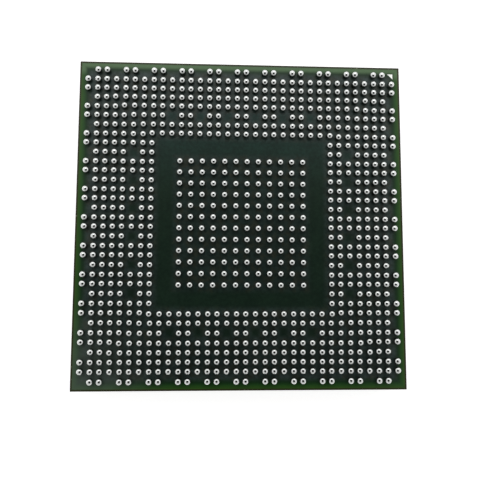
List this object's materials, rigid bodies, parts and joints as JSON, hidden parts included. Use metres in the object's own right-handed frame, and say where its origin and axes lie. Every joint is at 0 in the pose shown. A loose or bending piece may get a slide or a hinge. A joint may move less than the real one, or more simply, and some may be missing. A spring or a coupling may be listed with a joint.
{
  "type": "ball grid array package",
  "caption": "Square flip-chip ball grid array package: rings of solder balls round a centre grid on a green laminate, with a bare die and capacitors on its other face.",
  "frame": {"origin": "middle of the back of the die, which is the lowest face of the package as it lies balls up", "axes": "+Z out of the ball side; +X and +Y along the package edges, towards the corner with the pin 1 mark"},
  "size_m": [0.0292, 0.0292, 0.0025],
  "materials": {
    "laminate_resin": "sawn edge of a glass and epoxy laminate, olive green",
    "ball_side_solder_mask": "dark green solder mask, satin, nearly black over copper and greener at the copper-free rim",
    "die_side_solder_mask": "dark green solder mask, satin",
    "copper_land": "bare etched copper",
    "plated_mark": "bright tinned copper",
    "solder_ball": "bright reflowed tin-silver-copper solder with a soft satin skin",
    "silicon_back": "ground and polished back of a silicon die, dark grey",
    "bump_solder": "fine-pitch tin solder",
    "underfill_epoxy": "dark filled epoxy, semi-gloss",
    "joint_solder": "bright reflowed solder",
    "capacitor_ceramic": "fired tan barium titanate ceramic",
    "capacitor_end_plating": "matte tin plating"
  },
  "bodies": {
    "root": {"laminate": "laminate_resin", "ball_side_mask": "ball_side_solder_mask", "die_side_mask": "die_side_solder_mask", "ball_lands": "copper_land", "ball_side_pin_1_mark": "plated_mark", "ball_ring_1": "solder_ball", "ball_ring_2": "solder_ball", "ball_ring_3": "solder_ball", "ball_ring_4": "solder_ball", "ball_ring_5": "solder_ball", "ball_ring_6": "solder_ball", "ball_ring_7": "solder_ball", "ball_ring_8": "solder_ball", "ball_centre_grid": "solder_ball", "die": "silicon_back", "die_bumps": "bump_solder", "underfill": "underfill_epoxy", "die_side_pin_1_mark": "plated_mark", "capacitor_lands": "copper_land", "capacitor_solder": "joint_solder", "capacitor_01_ceramic": "capacitor_ceramic", "capacitor_02_ceramic": "capacitor_ceramic", "capacitor_03_ceramic": "capacitor_ceramic", "capacitor_04_ceramic": "capacitor_ceramic", "capacitor_05_ceramic": "capacitor_ceramic", "capacitor_06_ceramic": "capacitor_ceramic", "capacitor_07_ceramic": "capacitor_ceramic", "capacitor_08_ceramic": "capacitor_ceramic", "capacitor_09_ceramic": "capacitor_ceramic", "capacitor_10_ceramic": "capacitor_ceramic", "capacitor_11_ceramic": "capacitor_ceramic", "capacitor_12_ceramic": "capacitor_ceramic", "capacitor_13_ceramic": "capacitor_ceramic", "capacitor_14_ceramic": "capacitor_ceramic", "capacitor_15_ceramic": "capacitor_ceramic", "capacitor_16_ceramic": "capacitor_ceramic", "capacitor_01_ends": "capacitor_end_plating", "capacitor_02_ends": "capacitor_end_plating", "capacitor_03_ends": "capacitor_end_plating", "capacitor_04_ends": "capacitor_end_plating", "capacitor_05_ends": "capacitor_end_plating", "capacitor_06_ends": "capacitor_end_plating", "capacitor_07_ends": "capacitor_end_plating", "capacitor_08_ends": "capacitor_end_plating", "capacitor_09_ends": "capacitor_end_plating", "capacitor_10_ends": "capacitor_end_plating", "capacitor_11_ends": "capacitor_end_plating", "capacitor_12_ends": "capacitor_end_plating", "capacitor_13_ends": "capacitor_end_plating", "capacitor_14_ends": "capacitor_end_plating", "capacitor_15_ends": "capacitor_end_plating", "capacitor_16_ends": "capacitor_end_plating"}
  },
  "joints": []
}
